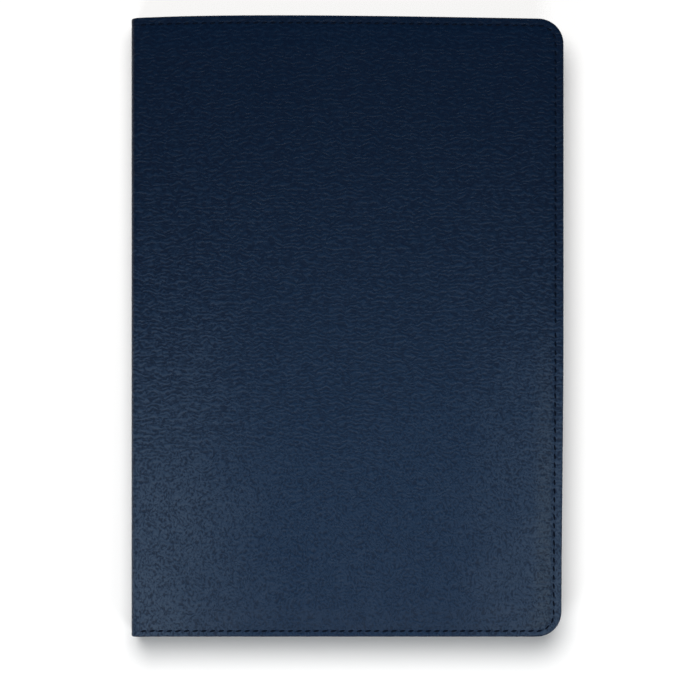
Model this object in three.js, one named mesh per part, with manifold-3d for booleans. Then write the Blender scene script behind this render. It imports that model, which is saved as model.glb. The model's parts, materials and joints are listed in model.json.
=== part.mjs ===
// Folio case with a built-in keyboard for a 10 inch tablet, closed, lying on its back cover.
// Millimetres. +X runs from the spine to the free edge, +Y along the spine, +Z through the thickness.
// The origin is the middle of the underside.
import * as THREE from "three";
import { mergeVertices } from "three/addons/utils/BufferGeometryUtils.js";
import Module from "manifold-3d";

const wasm = await Module();
wasm.setup();

// ---------------------------------------------------------------- driving dimensions

const caseWidth = 185;
const caseLength = 265;
const cornerRadius = 10.7; // the two corners of each cover at the free edge
const creaseRadius = 3; // outer radius of the leatherette where a cover turns into the spine
const creaseGap = 0.2; // between the crease strip and what it joins
const glueGap = 0.1; // between layers that are bonded to each other

const skinThick = 0.8;
const liningThick = 0.6;
const backBoardThick = 2;
const frontBoardThick = 1.7;
const foamThick = 0.9;
const adhesiveThick = 0.3; // a double-sided sheet between the keyboard and its cover, left as a gap
const holderThick = 1.8;
const tabletRoom = 8.2;
const lipThick = 1;
const lipToKeys = 0.2;
const keyTravel = 1.3; // the caps stand this far out of the deck, and go down flush with it
const keyboardThick = 5.3;

// Levels, from the table upwards
const backInside = skinThick + backBoardThick + liningThick;
const seatLevel = backInside + holderThick;
const lipUnder = seatLevel + tabletRoom;
const lipTop = lipUnder + lipThick;
const keyTop = lipTop + lipToKeys;
const deckFace = keyTop + keyTravel;
const keyboardBack = deckFace + keyboardThick;
const frontInside = keyboardBack + adhesiveThick;
const boardUnder = frontInside + liningThick;
const boardTop = boardUnder + frontBoardThick;
const rimTop = boardTop + skinThick;
const foamTop = boardTop + foamThick;
const caseHeight = foamTop + skinThick;

// Edges in plan
const halfWidth = caseWidth / 2;
const halfLength = caseLength / 2;
const creaseCentreX = -halfWidth + creaseRadius;
const panelStart = creaseCentreX + creaseGap;
const spineBottom = creaseRadius + creaseGap;
const spineTop = caseHeight - spineBottom;

// ---------------------------------------------------------------- materials

function finish(color, roughness, metalness = 0) {
  return new THREE.MeshStandardMaterial({ color, roughness, metalness });
}

const leatherette = finish(0x1b2c46, 0.55);
const greyboard = finish(0x8a8378, 0.95);
const foamSheet = finish(0xd9d6cc, 0.95);
const microfibre = finish(0x23262d, 0.95);
const blackPlastic = finish(0x191a1d, 0.5);
const keyPlastic = finish(0x1f2024, 0.45);
const film = finish(0x9fb4a6, 0.4);
const silicone = finish(0xc9ccd0, 0.6);
const circuitGreen = finish(0x1e5a3a, 0.5);
const cellWrap = finish(0xb9bec4, 0.35, 0.4);
const steel = finish(0xb4b7bb, 0.3, 1);
const coatedSteel = finish(0x2a2b2e, 0.45, 0.6);
const rubber = finish(0x222326, 0.85);
const clearLens = finish(0xdfe8ee, 0.15);

// ---------------------------------------------------------------- solids

// A geometry's vertices merged by position, as a solid that can be cut and joined.
function solid(geometry) {
  const bare = geometry.clone();
  bare.deleteAttribute("normal");
  bare.deleteAttribute("uv");
  const merged = mergeVertices(bare, 1e-4);
  return new wasm.Manifold(
    new wasm.Mesh({
      numProp: 3,
      vertProperties: new Float32Array(merged.attributes.position.array),
      triVerts: new Uint32Array(merged.index.array),
    }),
  );
}

function geometryOf(shape) {
  const mesh = shape.getMesh();
  const geometry = new THREE.BufferGeometry();
  geometry.setAttribute("position", new THREE.BufferAttribute(mesh.vertProperties, 3));
  geometry.setIndex(new THREE.BufferAttribute(mesh.triVerts, 1));
  return geometry;
}

function cut(shape, ...tools) {
  return tools.reduce((rest, tool) => rest.subtract(tool), shape);
}

function join(first, ...others) {
  return others.reduce((sum, other) => sum.add(other), first);
}

// A rectangle in plan whose corners at the high X end and at the low X end have their own radii.
function outline(x0, x1, y0, y1, highRadius = 0, lowRadius = highRadius) {
  const shape = new THREE.Shape();
  const quarter = Math.PI / 2;
  shape.moveTo(x0 + lowRadius, y0);
  shape.lineTo(x1 - highRadius, y0);
  if (highRadius) shape.absarc(x1 - highRadius, y0 + highRadius, highRadius, -quarter, 0);
  shape.lineTo(x1, y1 - highRadius);
  if (highRadius) shape.absarc(x1 - highRadius, y1 - highRadius, highRadius, 0, quarter);
  shape.lineTo(x0 + lowRadius, y1);
  if (lowRadius) shape.absarc(x0 + lowRadius, y1 - lowRadius, lowRadius, quarter, Math.PI);
  shape.lineTo(x0, y0 + lowRadius);
  if (lowRadius) shape.absarc(x0 + lowRadius, y0 + lowRadius, lowRadius, Math.PI, 3 * quarter);
  return shape;
}

function plate(shape, z0, z1, curveSegments = 6) {
  const geometry = new THREE.ExtrudeGeometry(shape, {
    depth: z1 - z0,
    bevelEnabled: false,
    curveSegments,
  });
  return solid(geometry.translate(0, 0, z0));
}

function block(x0, x1, y0, y1, z0, z1) {
  const geometry = new THREE.BoxGeometry(x1 - x0, y1 - y0, z1 - z0);
  return solid(geometry.translate((x0 + x1) / 2, (y0 + y1) / 2, (z0 + z1) / 2));
}

function disc(x, y, z0, z1, radius, sides = 16) {
  const geometry = new THREE.CylinderGeometry(radius, radius, z1 - z0, sides);
  return solid(geometry.rotateX(Math.PI / 2).translate(x, y, (z0 + z1) / 2));
}

const folio = new THREE.Group();

function addPiece(name, shape, material) {
  const mesh = new THREE.Mesh(geometryOf(shape), material);
  mesh.name = name;
  folio.add(mesh);
}

// ---------------------------------------------------------------- covers and spine

const rimWidth = 6.5; // the stitched border, where there is no foam
const rimSlope = 2.5;
const openEnd = 6; // cutters and insets run this far past the crease side, which has no wall
const foldIn = 9; // most that an inset takes off a cover's corner radius
const far = 200; // reach of a cutter that takes away a whole side
const spineBoardThick = 1.5;
const spineTrim = 1; // the spine's board and lining stop short of its ends
const boardTrim = 0.8;

// A cover in plan, set in from its three free edges.
function coverOutline(inset, start = panelStart) {
  const y = halfLength - inset;
  return outline(start, halfWidth - inset, -y, y, cornerRadius - Math.min(inset, foldIn), 0);
}

function makeFrontCover() {
  const flat = 0.01; // the middle of the raised panel, above its sloping edge
  const raised = new THREE.ExtrudeGeometry(coverOutline(rimWidth, panelStart - openEnd), {
    depth: flat,
    bevelThickness: foamThick - flat,
    bevelSize: rimSlope,
    bevelOffset: -rimSlope,
    bevelSegments: 2,
    curveSegments: 6,
  });
  raised.translate(0, 0, rimTop);
  const shell = join(plate(coverOutline(0), frontInside, rimTop), solid(raised));
  const skin = cut(
    shell,
    block(-far, panelStart, -far, far, 0, far),
    block(-far, far, -far, far, caseHeight, far),
    plate(coverOutline(skinThick, panelStart - openEnd), frontInside - 1, boardTop),
    plate(coverOutline(rimWidth + rimSlope, panelStart - openEnd), boardTop - 0.1, foamTop),
  );
  const inner = skinThick + glueGap;
  addPiece("front_skin", skin, leatherette);
  addPiece(
    "front_foam",
    plate(coverOutline(rimWidth + rimSlope + glueGap), boardTop, foamTop - glueGap),
    foamSheet,
  );
  addPiece("front_board", plate(coverOutline(inner), boardUnder, boardTop - glueGap), greyboard);
  addPiece("front_lining", plate(coverOutline(inner), frontInside, boardUnder - glueGap), microfibre);
}

// The leatherette and lining between a cover and the spine, bent round a quarter circle.
function creaseStrip(centreZ, fromAngle) {
  const outer = creaseRadius;
  const inner = creaseRadius - skinThick - liningThick;
  const shape = new THREE.Shape();
  const end = fromAngle + Math.PI / 2;
  shape.absarc(0, 0, outer, fromAngle, end);
  shape.lineTo(inner * Math.cos(end), inner * Math.sin(end));
  shape.absarc(0, 0, inner, end, fromAngle, true);
  shape.closePath();
  const geometry = new THREE.ExtrudeGeometry(shape, {
    depth: caseLength,
    bevelEnabled: false,
    curveSegments: 6,
  });
  // Drawn in X and Z, so the extrusion is stood up along Y.
  geometry.rotateX(Math.PI / 2).translate(creaseCentreX, halfLength, centreZ);
  return solid(geometry);
}

function makeSpine() {
  const skinInside = -halfWidth + skinThick;
  const boardInside = skinInside + spineBoardThick + glueGap;
  const liningInside = boardInside + liningThick;
  const end = halfLength - spineTrim;
  addPiece(
    "spine_skin",
    block(-halfWidth, skinInside - glueGap, -halfLength, halfLength, spineBottom, spineTop),
    leatherette,
  );
  addPiece(
    "spine_board",
    block(
      skinInside, boardInside - glueGap, -end, end, spineBottom + boardTrim, spineTop - boardTrim,
    ),
    greyboard,
  );
  addPiece(
    "spine_lining",
    block(boardInside, liningInside, -end, end, spineBottom, spineTop),
    microfibre,
  );
  addPiece("lower_crease", creaseStrip(creaseRadius, Math.PI), leatherette);
  addPiece("upper_crease", creaseStrip(caseHeight - creaseRadius, Math.PI / 2), leatherette);
}

// ---------------------------------------------------------------- stand leg in the back cover

const legHingeX = 36;
const legLength = 95.5;
const legHalfWidth = 60;
const legThick = 2.2;
const legCorner = 8;
const legClearance = 0.5;
const legEnd = legHingeX - legLength;
const legMagnetX = legEnd + 10;
const legStart = legHingeX - 1.5; // the leg's own skin stops here, and its crease strip goes on
const legCreaseEnd = legHingeX + 1;
const legCreaseTrim = 2;
const legMagnetRadius = 4;
const keeperThick = 0.4; // steel disc under the lining that the leg's magnet holds to
const keeperRadius = 6;

function legOutline(grow, x1) {
  const y = legHalfWidth + grow;
  return outline(legEnd - grow, x1, -y, y, 0, legCorner + grow);
}

function makeLeg() {
  const inner = skinThick + glueGap;
  const shell = cut(
    plate(legOutline(0, legStart), 0, legThick),
    plate(legOutline(-skinThick, legStart - skinThick), skinThick, far),
  );
  const board = cut(
    plate(legOutline(-inner, legStart - inner), inner, legThick - glueGap),
    disc(legMagnetX, 0, 0, legThick, legMagnetRadius + creaseGap),
  );
  addPiece("leg_skin", shell, leatherette);
  addPiece("leg_board", board, greyboard);
  addPiece(
    "leg_magnet",
    disc(legMagnetX, 0, inner + glueGap, legThick - creaseGap, legMagnetRadius),
    steel,
  );
  const keeperTop = backInside - liningThick - glueGap;
  addPiece("leg_keeper", disc(legMagnetX, 0, keeperTop - keeperThick, keeperTop, keeperRadius), steel);
  const creaseY = legHalfWidth - legCreaseTrim;
  addPiece(
    "leg_crease",
    block(legStart + creaseGap, legCreaseEnd, -creaseY, creaseY, glueGap, skinThick),
    leatherette,
  );
}

const rivetPlaces = [
  [-70, -88],
  [-70, 88],
  [50, -88],
  [50, 88],
];
const rivet = { hole: 1.8, shank: 1.5, head: 3, sink: 3.3, headThick: 0.7, sides: 12 };

function makeBackCover() {
  const inner = skinThick + glueGap;
  const window = plate(
    legOutline(legClearance, legCreaseEnd + creaseGap),
    -far,
    backInside - liningThick,
  );
  const rivetHoles = rivetPlaces.map(([x, y]) =>
    disc(x, y, skinThick, caseHeight, rivet.hole, rivet.sides),
  );
  const skin = cut(
    plate(coverOutline(0), 0, backInside),
    plate(coverOutline(skinThick, panelStart - openEnd), skinThick, far),
    window,
  );
  const boardBottom = skinThick + glueGap;
  const liningBottom = skinThick + backBoardThick;
  addPiece("back_skin", skin, leatherette);
  addPiece(
    "back_board",
    cut(plate(coverOutline(inner), boardBottom, liningBottom - glueGap), window, ...rivetHoles),
    greyboard,
  );
  addPiece(
    "back_lining",
    cut(plate(coverOutline(inner), liningBottom, backInside - glueGap), ...rivetHoles),
    microfibre,
  );
}

// ---------------------------------------------------------------- tablet holder

const holderLowX = -85;
const holderHighX = 64;
const hookY = 70;
const hookHalf = 8;
const hookWall = 2.5;
const hookReach = 7;
const armY = 55;
const armHalf = 6;
const armBottom = backInside + 0.2;
const armThick = 0.9;
const armInnerX = 4;
const channelEndX = -36;
const clawWallX = 68;
const clawWall = 1.5;
const clawHalf = 8;
const clawReach = 6;
const pad = { thick: 0.8, half: 7, gap: 0.2 };
const plateCorner = 6;
const plateHalf = 100;
const channelGap = 0.5; // beside an arm, in its channel
const springRadius = 0.5;

function makeHolder() {
  const channelTop = armBottom + armThick + creaseGap;
  const channelHalf = armHalf + channelGap;
  const sides = [-1, 1];
  let base = plate(
    outline(holderLowX, holderHighX, -plateHalf, plateHalf, plateCorner),
    backInside,
    seatLevel,
  );
  for (const side of sides) {
    const y = side * hookY;
    const wall = block(
      holderLowX, holderLowX + hookWall, y - hookHalf, y + hookHalf, backInside, lipTop,
    );
    const lip = block(
      holderLowX, holderLowX + hookReach, y - hookHalf, y + hookHalf, lipUnder, lipTop,
    );
    const channel = block(
      channelEndX, far, side * armY - channelHalf, side * armY + channelHalf, 0, channelTop,
    );
    base = cut(join(base, wall, lip), channel);
  }
  for (const [x, y] of rivetPlaces) {
    base = cut(
      base,
      disc(x, y, 0, caseHeight, rivet.hole, rivet.sides),
      disc(x, y, seatLevel - rivet.headThick - pad.gap, caseHeight, rivet.sink),
    );
  }
  addPiece("holder_base", base, blackPlastic);

  const barStart = holderHighX + 1.5;
  let jaw = block(
    barStart, clawWallX + clawWall, -armY - armHalf, armY + armHalf,
    armBottom, armBottom + armThick,
  );
  for (const side of sides) {
    const y = side * armY;
    jaw = join(
      jaw,
      block(armInnerX, barStart + 1, y - armHalf, y + armHalf, armBottom, armBottom + armThick),
      block(clawWallX, clawWallX + clawWall, y - clawHalf, y + clawHalf, armBottom, lipTop),
      block(
        clawWallX - clawReach, clawWallX + clawWall, y - clawHalf, y + clawHalf, lipUnder, lipTop,
      ),
    );
  }
  addPiece("sliding_jaw", jaw, coatedSteel);

  sides.forEach((side, i) => {
    const hookFace = holderLowX + hookWall + glueGap;
    const clawFace = clawWallX - glueGap;
    const low = seatLevel + pad.gap;
    const high = lipUnder - pad.gap;
    const hook = side * hookY;
    const claw = side * armY;
    addPiece(
      "hook_pad_" + (i + 1),
      block(hookFace, hookFace + pad.thick, hook - pad.half, hook + pad.half, low, high),
      rubber,
    );
    addPiece(
      "claw_pad_" + (i + 1),
      block(clawFace - pad.thick, clawFace, claw - pad.half, claw + pad.half, low, high),
      rubber,
    );
    const length = armInnerX - channelEndX - 2 * channelGap;
    const spring = new THREE.CylinderGeometry(springRadius, springRadius, length, 8);
    const middle = (armInnerX + channelEndX) / 2;
    const level = armBottom + armThick / 2;
    spring.rotateZ(Math.PI / 2).translate(middle, claw, level);
    addPiece("jaw_spring_" + (i + 1), solid(spring), steel);
  });

  rivetPlaces.forEach(([x, y], i) => {
    const headUnder = seatLevel - glueGap - rivet.headThick;
    const shank = disc(x, y, skinThick + glueGap, headUnder + glueGap, rivet.shank, rivet.sides);
    const head = disc(x, y, headUnder, headUnder + rivet.headThick, rivet.head);
    addPiece("holder_rivet_" + (i + 1), join(shank, head), steel);
  });
}

// ---------------------------------------------------------------- keyboard

const keyboardLowX = -82;
const keyboardHighX = 80;
const keyboardHalf = 123;
const caseWall = 1.2;
const floorThick = 0.8;
const deckThick = 1;
const keyboardCorner = 4;
const keyUnit = 17.2; // centre to centre along a row
const rowPitch = 17;
const keyGap = 2.2; // between neighbouring caps
const keyClearance = 0.4; // between a cap and the deck
const fit = 0.3; // round anything else that stands in a hole
const rowUnits = 14;
const functionRowX = -69;
const functionDepth = 8;
const firstRowX = -55.5;

// The keyboard faces the tablet, so its own height h is measured down from its back.
function level(h) {
  return keyboardBack - h;
}

function keyboardBlock(x0, x1, y0, y1, h0, h1) {
  return block(x0, x1, y0, y1, level(h1), level(h0));
}

// The same from a box with named sides, grown by a clearance in plan.
function keyboardBox({ x0, x1, y0, y1, h0, h1 }, grow = 0) {
  return keyboardBlock(x0 - grow, x1 + grow, y0 - grow, y1 + grow, h0, h1);
}

function keyboardDisc(x, y, h0, h1, radius, sides) {
  return disc(x, y, level(h1), level(h0), radius, sides);
}

function ones(count) {
  return new Array(count).fill(1);
}

// Each group of caps that moves together: where its row is, the key unit it starts at, cap widths.
const keyGroups = [
  { name: "function_keys", x: functionRowX, depth: functionDepth, start: 0, widths: ones(14) },
  { name: "number_keys", row: 0, start: 0, widths: ones(14) },
  { name: "upper_letter_keys", row: 1, start: 0, widths: [1.25, ...ones(12), 0.75] },
  { name: "home_keys", row: 2, start: 0, widths: [1.5, ...ones(11), 1.5] },
  { name: "lower_letter_keys", row: 3, start: 0, widths: [2, ...ones(12)] },
  { name: "left_modifier_keys", row: 4, start: 0, widths: ones(4) },
  { name: "space_bar", row: 4, start: 4, widths: [5] },
  { name: "right_modifier_keys", row: 4, start: 9, widths: ones(5) },
];

// The caps of a group as boxes in plan. Keys are counted from the typist's left, which is +Y.
function capsOf(group) {
  const x = group.x ?? firstRowX + rowPitch * group.row;
  const depth = group.depth ?? rowPitch - 2;
  const left = (rowUnits * keyUnit) / 2;
  let unit = group.start;
  return group.widths.map((width) => {
    const y1 = left - unit * keyUnit - keyGap / 2;
    unit += width;
    const y0 = left - unit * keyUnit + keyGap / 2;
    return { x0: x - depth / 2, x1: x + depth / 2, y0, y1, x };
  });
}

const deckBottom = keyboardThick - deckThick;
const keyBottom = deckBottom - 0.7;
const capTop = keyboardThick + keyTravel;
const web = { half: 3, thick: 0.5, trim: 1 }; // joins a group's caps under the deck
const screwPlaces = [
  [-77.5, -118],
  [-77.5, 118],
  [75.5, -118],
  [75.5, 118],
];
const screw = { hole: 0.95, sink: 1.7, post: 2, shank: 0.7, head: 1.5, sides: 12 };
const circuitSheet = { x0: -74, x1: 22, y0: -119, y1: 119, h0: 0.9, h1: 1.1 };
const domeSheet = { ...circuitSheet, h0: 1.2, h1: 1.45 };
const dome = { radius: 2.5, sides: 4, top: 2.1 };
const controllerBoard = { x0: 40, x1: 70, y0: -117, y1: -90, h0: 0.9, h1: 1.7 };
const battery = { x0: 28, x1: 58, y0: 44, y1: 112, h0: 1, h1: 3.8 };
const touchpad = { x0: 26, x1: 61, y0: -38, y1: 38, h0: 2.6, h1: 5.2 };
const leftClick = { x0: 62.6, x1: 74.4, y0: 0.6, y1: 38, h0: 3.2, h1: 5.6 };
const rightClick = { ...leftClick, y0: -38, y1: -0.6 };
const lens = { x0: -78.4, x1: -76.8, y0: -110, y1: -98, h0: 4.4, h1: 5.35 };
const socket = { x0: 60, x1: 68, y0: -122.9, y1: -117.5, h0: 1.8, h1: 4.1 };
const socketWall = 0.4;
const powerSlot = { x0: 46.2, x1: 52.3, h0: 1.8, h1: 3.8 };
const powerKnob = { x0: 46.5, x1: 49.5, y0: -123.8, y1: -121.2, h0: 2, h1: 3.6 };
const powerFoot = { x0: 44.5, x1: 51.5, y0: -121.5, y1: -119, h0: 1.9, h1: 3.9 };
const pairing = { x: -77.5, y: -90, radius: 1.7, flange: 2.3, low: 2.4, top: 5.6 };
const bumper = { radius: 2.6, sides: 14, top: 7.4 };
const bumperPlaces = [
  [-77.5, -112],
  [-77.5, 112],
  [76, -112],
  [76, 112],
];
const closingMagnet = { x: 66, radius: 4, low: 1, top: 4 };
const through = { h0: 2, h1: 9 }; // a cutter of this height opens the deck

function keyboardOutline(inset) {
  const y = keyboardHalf - inset;
  return outline(keyboardLowX + inset, keyboardHighX - inset, -y, y, keyboardCorner - inset);
}

function makeKeyboardCase() {
  const wallEnd = -keyboardHalf;
  const cavity = plate(keyboardOutline(caseWall), level(far), level(floorThick));
  let base = cut(
    plate(keyboardOutline(0), level(deckBottom - glueGap), level(0), 4),
    cavity,
    keyboardBox({ ...socket, y0: wallEnd - 1, h0: socket.h0 - fit, h1: far }, fit),
    keyboardBox({ ...powerSlot, y0: wallEnd - 1, y1: wallEnd + caseWall + 1 }),
  );
  let deck = plate(keyboardOutline(0), level(keyboardThick), level(deckBottom), 4);
  for (const [x, y] of screwPlaces) {
    base = cut(
      base,
      keyboardDisc(x, y, -1, floorThick + 1, screw.hole, screw.sides),
      keyboardDisc(x, y, -1, floorThick - fit, screw.sink, screw.sides),
    );
    deck = cut(
      join(
        deck,
        keyboardDisc(x, y, floorThick + glueGap, deckBottom + fit, screw.post, screw.sides),
      ),
      keyboardDisc(x, y, 0, deckBottom - fit, screw.hole, screw.sides),
    );
  }
  const keyOpenings = keyGroups
    .flatMap(capsOf)
    .map((cap) => keyboardBox({ ...cap, ...through }, keyClearance));
  const otherOpenings = [
    { ...touchpad, ...through },
    { ...leftClick, y0: rightClick.y0, ...through },
    { ...lens, ...through },
  ].map((box) => keyboardBox(box, fit));
  deck = cut(
    deck,
    ...keyOpenings,
    ...otherOpenings,
    keyboardDisc(pairing.x, pairing.y, through.h0, through.h1, pairing.radius + fit, screw.sides),
  );
  addPiece("keyboard_base", base, blackPlastic);
  addPiece("keyboard_deck", deck, blackPlastic);
}

function makeKeys() {
  for (const group of keyGroups) {
    const caps = capsOf(group);
    const x = caps[0].x;
    const lowY = caps[caps.length - 1].y0 + web.trim;
    const highY = caps[0].y1 - web.trim;
    const bar = keyboardBlock(
      x - web.half, x + web.half, lowY, highY, keyBottom, keyBottom + web.thick,
    );
    const tops = caps.map((cap) => keyboardBox({ ...cap, h0: keyBottom, h1: capTop }));
    addPiece(group.name, join(bar, ...tops), keyPlastic);
  }
}

function makeKeyboardInside() {
  const domes = keyGroups.flatMap(capsOf).map((cap) => {
    const y = (cap.y0 + cap.y1) / 2;
    return keyboardDisc(cap.x, y, domeSheet.h0 + glueGap, dome.top, dome.radius, dome.sides);
  });
  const mouth = {
    ...socket,
    y0: socket.y0 - 1,
    y1: socket.y1 - 1,
    x0: socket.x0 + socketWall,
    x1: socket.x1 - socketWall,
    h0: socket.h0 + socketWall,
    h1: socket.h1 - socketWall,
  };
  addPiece("circuit_sheet", keyboardBox(circuitSheet), film);
  addPiece("dome_sheet", join(keyboardBox(domeSheet), ...domes), silicone);
  addPiece("controller_board", keyboardBox(controllerBoard), circuitGreen);
  addPiece("usb_socket", cut(keyboardBox(socket), keyboardBox(mouth)), steel);
  addPiece("battery", keyboardBox(battery), cellWrap);
  screwPlaces.forEach(([x, y], i) => {
    const head = keyboardDisc(x, y, 0.05, floorThick - fit - glueGap, screw.head, screw.sides);
    const shank = keyboardDisc(x, y, 0.3, deckBottom - 2 * fit, screw.shank, 8);
    addPiece("keyboard_screw_" + (i + 1), join(head, shank), steel);
  });
  [-armY, armY].forEach((y, i) => {
    const { x, low, top, radius } = closingMagnet;
    addPiece("closing_magnet_" + (i + 1), keyboardDisc(x, y, low, top, radius), steel);
  });
}

// What the typist touches besides the keys, and the bumpers that keep the keys off the glass.
function makeKeyboardControls() {
  const { x, y, radius, flange, low, top } = pairing;
  addPiece("touchpad", keyboardBox(touchpad), blackPlastic);
  addPiece("led_lens", keyboardBox(lens), clearLens);
  addPiece("left_click_button", keyboardBox(leftClick), keyPlastic);
  addPiece("right_click_button", keyboardBox(rightClick), keyPlastic);
  addPiece("power_switch", join(keyboardBox(powerKnob), keyboardBox(powerFoot)), keyPlastic);
  const pin = keyboardDisc(x, y, low, top, radius, screw.sides);
  const foot = keyboardDisc(x, y, low, low + caseWall, flange, screw.sides);
  addPiece("pairing_button", join(pin, foot), keyPlastic);
  bumperPlaces.forEach(([bumperX, bumperY], i) => {
    const button = keyboardDisc(
      bumperX, bumperY, keyboardThick + 0.05, bumper.top, bumper.radius, bumper.sides,
    );
    addPiece("bumper_" + (i + 1), button, rubber);
  });
}

makeFrontCover();
makeSpine();
makeBackCover();
makeLeg();
makeHolder();
makeKeyboardCase();
makeKeys();
makeKeyboardInside();
makeKeyboardControls();

export default folio;
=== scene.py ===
import json
import math

import bmesh
import bpy
from mathutils import Matrix, Vector, noise

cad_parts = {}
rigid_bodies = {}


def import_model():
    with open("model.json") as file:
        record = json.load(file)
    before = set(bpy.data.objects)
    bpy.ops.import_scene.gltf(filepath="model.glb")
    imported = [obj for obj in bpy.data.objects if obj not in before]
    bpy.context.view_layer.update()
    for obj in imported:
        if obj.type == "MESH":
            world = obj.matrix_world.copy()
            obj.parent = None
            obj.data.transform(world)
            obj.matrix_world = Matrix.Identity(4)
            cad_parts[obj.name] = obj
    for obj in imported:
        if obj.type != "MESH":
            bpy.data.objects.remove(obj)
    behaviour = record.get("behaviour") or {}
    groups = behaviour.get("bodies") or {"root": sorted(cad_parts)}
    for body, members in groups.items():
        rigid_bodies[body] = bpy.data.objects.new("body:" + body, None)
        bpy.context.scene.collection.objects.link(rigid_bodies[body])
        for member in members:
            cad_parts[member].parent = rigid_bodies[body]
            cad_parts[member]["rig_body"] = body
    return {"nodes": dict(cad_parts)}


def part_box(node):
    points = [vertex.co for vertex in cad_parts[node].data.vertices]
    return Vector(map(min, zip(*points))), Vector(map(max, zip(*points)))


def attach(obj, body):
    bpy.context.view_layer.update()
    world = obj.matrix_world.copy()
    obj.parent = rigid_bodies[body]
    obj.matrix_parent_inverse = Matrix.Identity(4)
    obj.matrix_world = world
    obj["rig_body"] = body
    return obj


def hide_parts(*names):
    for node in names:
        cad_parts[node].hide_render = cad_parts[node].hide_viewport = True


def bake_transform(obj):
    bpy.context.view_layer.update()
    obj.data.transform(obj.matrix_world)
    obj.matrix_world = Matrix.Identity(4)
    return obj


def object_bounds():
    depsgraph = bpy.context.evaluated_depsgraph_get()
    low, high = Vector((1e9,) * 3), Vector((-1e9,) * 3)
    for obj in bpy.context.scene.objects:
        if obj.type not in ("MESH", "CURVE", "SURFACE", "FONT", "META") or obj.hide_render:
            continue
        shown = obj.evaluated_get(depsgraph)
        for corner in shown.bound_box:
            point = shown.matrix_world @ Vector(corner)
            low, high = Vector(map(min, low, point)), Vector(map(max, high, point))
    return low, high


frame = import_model()
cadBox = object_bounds()
mm = 0.001


def span(node):
    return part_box(node)


class Wire:
    # a socket that can be added, subtracted and multiplied like a number
    def __init__(self, shader, socket):
        self.shader = shader
        self.socket = socket

    def maths(self, operation, left, right=0.0):
        node = self.shader.add("ShaderNodeMath", {"operation": operation}, {0: left, 1: right})
        return Wire(self.shader, node.outputs[0])

    def size(self):
        return self.maths("ABSOLUTE", self)

    def sine(self):
        return self.maths("SINE", self)

    def __add__(self, other):
        return self.maths("ADD", self, other)

    def __radd__(self, other):
        return self.maths("ADD", other, self)

    def __sub__(self, other):
        return self.maths("SUBTRACT", self, other)

    def __rsub__(self, other):
        return self.maths("SUBTRACT", other, self)

    def __mul__(self, other):
        return self.maths("MULTIPLY", self, other)

    def __rmul__(self, other):
        return self.maths("MULTIPLY", other, self)


class Shader:
    # one material, with its Principled BSDF and a short way to add nodes
    def __init__(self, name, colour, roughness, **constants):
        self.material = bpy.data.materials.new(name)
        self.material.use_nodes = True
        self.nodes = self.material.node_tree.nodes
        self.links = self.material.node_tree.links
        self.surface = self.nodes["Principled BSDF"]
        self.surface.inputs["Base Color"].default_value = (*colour, 1)
        self.surface.inputs["Roughness"].default_value = roughness
        for socket, value in constants.items():
            self.surface.inputs[socket.replace("_", " ")].default_value = value

    def add(self, kind, settings=None, sockets=None):
        node = self.nodes.new(kind)
        for key, value in (settings or {}).items():
            setattr(node, key, value)
        for key, value in (sockets or {}).items():
            self.feed(node.inputs[key], value)
        return node

    def feed(self, socket, value):
        if isinstance(value, Wire):
            self.links.new(value.socket, socket)
        elif isinstance(value, bpy.types.NodeSocket):
            self.links.new(value, socket)
        else:
            socket.default_value = value

    def wire(self, kind, settings=None, sockets=None, output=0):
        return Wire(self, self.add(kind, settings, sockets).outputs[output])

    def objectPlace(self):
        return self.wire("ShaderNodeTexCoord", output="Object")

    def flatPlace(self):
        return self.wire("ShaderNodeUVMap", {"uv_map": "flat"})

    def scaled(self, place, scale, turn=0.0):
        sockets = {"Vector": place, "Scale": scale, "Rotation": (0, 0, turn)}
        return self.wire("ShaderNodeMapping", None, sockets)

    def noise(self, place, scale, detail=3.0, roughness=0.5):
        sockets = {"Vector": place, "Scale": scale, "Detail": detail, "Roughness": roughness}
        return self.wire("ShaderNodeTexNoise", None, sockets)

    def cells(self, place, scale, feature="DISTANCE_TO_EDGE"):
        sockets = {"Vector": place, "Scale": scale}
        return self.wire("ShaderNodeTexVoronoi", {"feature": feature}, sockets, "Distance")

    def between(self, value, low, high, start=0.0, end=1.0):
        settings = {"interpolation_type": "SMOOTHSTEP"}
        sockets = {"Value": value, 1: low, 2: high, 3: start, 4: end}
        return self.wire("ShaderNodeMapRange", settings, sockets)

    def part(self, place, axis):
        return self.wire("ShaderNodeSeparateXYZ", None, {0: place}, axis)

    def ridge(self, value, width):
        # thin crests where a noise crosses its middle value
        return self.between((value - 0.5).size(), 0.0, width, 1.0, 0.0)

    def attribute(self, name):
        return self.wire("ShaderNodeAttribute", {"attribute_name": name}, None, "Fac")

    def blendColours(self, factor, first, second):
        node = self.add("ShaderNodeMix", {"data_type": "RGBA"}, {0: factor})
        for index, colour in ((6, first), (7, second)):
            value = (*colour, 1) if isinstance(colour, tuple) else colour
            self.feed(node.inputs[index], value)
        return Wire(self, node.outputs[2])

    def colour(self, value):
        self.feed(self.surface.inputs["Base Color"], value)

    def roughness(self, value):
        self.feed(self.surface.inputs["Roughness"], value)

    def bump(self, height, distance):
        sockets = {"Height": height, "Distance": distance}
        node = self.add("ShaderNodeBump", None, sockets)
        self.links.new(node.outputs[0], self.surface.inputs["Normal"])


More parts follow.
